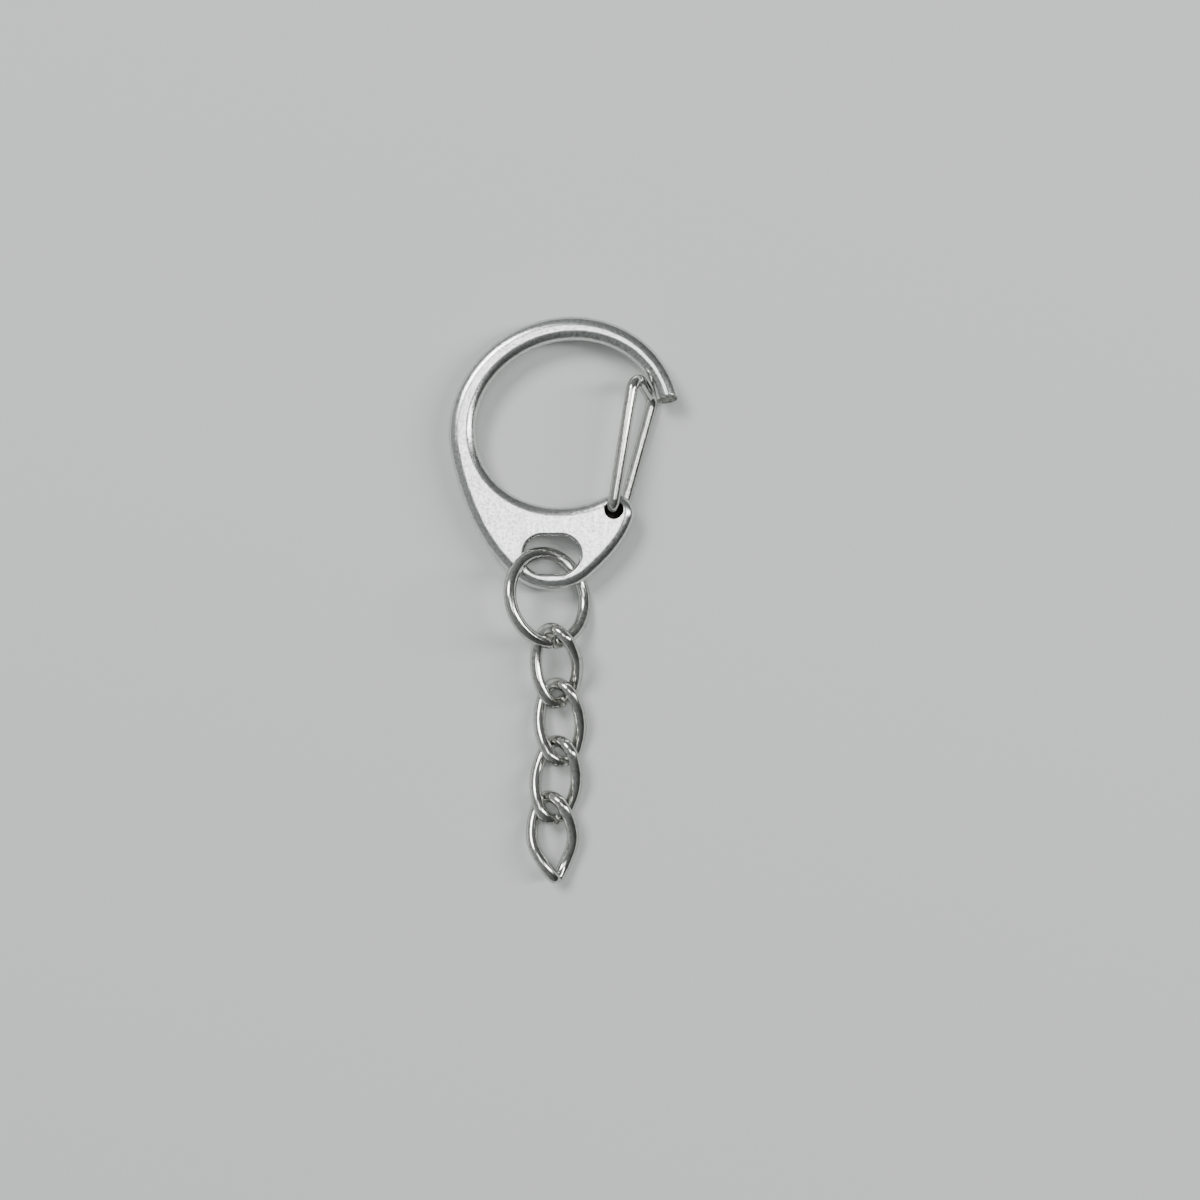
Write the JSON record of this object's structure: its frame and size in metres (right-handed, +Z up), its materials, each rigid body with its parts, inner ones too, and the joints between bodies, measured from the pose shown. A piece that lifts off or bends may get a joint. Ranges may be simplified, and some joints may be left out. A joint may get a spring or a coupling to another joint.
{
  "type": "key clip",
  "caption": "Flat D-shaped snap hook with a sprung bent-wire gate, a jump ring through its slot and a short run of twisted curb chain, to hang keys from a bag or belt loop.",
  "frame": {"origin": "middle of the footprint, on the ground below the clip as it lies flat", "axes": "+Y from the chain's end to the top of the hook, +X towards the gate side, +Z up out of the hook's front face"},
  "size_m": [0.024, 0.0596, 0.0072],
  "materials": {
    "nickel plate, hook": "bright nickel plate over a smooth stamped or cast body, lightly scuffed",
    "nickel wire, gate": "polished nickel-plated wire",
    "nickel wire, ring": "polished nickel-plated wire",
    "nickel wire, link 1": "polished nickel-plated wire",
    "nickel wire, link 2": "polished nickel-plated wire",
    "nickel wire, link 3": "polished nickel-plated wire",
    "nickel wire, link 4": "polished nickel-plated wire"
  },
  "bodies": {
    "hook": {"hook_body": "nickel plate, hook"},
    "gate": {"wire_gate": "nickel wire, gate"},
    "ring": {"jump_ring": "nickel wire, ring"},
    "link_1": {"chain_link_1": "nickel wire, link 1"},
    "link_2": {"chain_link_2": "nickel wire, link 2"},
    "link_3": {"chain_link_3": "nickel wire, link 3"},
    "link_4": {"chain_link_4": "nickel wire, link 4"}
  },
  "joints": [
    {"name": "gate_hinge", "type": "hinge", "parent": "hook", "child": "gate", "pos_m": [0.0056, 0.00931, 0.00272], "axis": [0, 0, 1], "range_deg": [0, 30], "stiffness_Nm_per_rad": 0.05, "springref_deg": -8.59},
    {"name": "ring_roll", "type": "hinge", "parent": "hook", "child": "ring", "pos_m": [-0.00164, 0.0003, 0.0036], "axis": [-0.2756, 0.9613, 0], "range_deg": [0, 62]},
    {"name": "link_1_swing", "type": "hinge", "parent": "ring", "child": "link_1", "pos_m": [-0.00115, -0.00438, 0.00425], "axis": [0.7944, 0, -0.6074], "range_deg": [-45, 100]},
    {"name": "link_2_swing", "type": "hinge", "parent": "link_1", "child": "link_2", "pos_m": [-0.00037, -0.01041, 0.00173], "axis": [0.5514, 0.3227, -0.7693], "range_deg": [-55, 40]},
    {"name": "link_3_swing", "type": "hinge", "parent": "link_2", "child": "link_3", "pos_m": [-0.00008, -0.01667, 0.00162], "axis": [0.5761, 0.0618, -0.815], "range_deg": [-44, 12]},
    {"name": "link_4_swing", "type": "hinge", "parent": "link_3", "child": "link_4", "pos_m": [-0.00108, -0.02277, 0.0018], "axis": [0.5775, -0.0461, -0.8151], "range_deg": [-20, 36]}
  ]
}
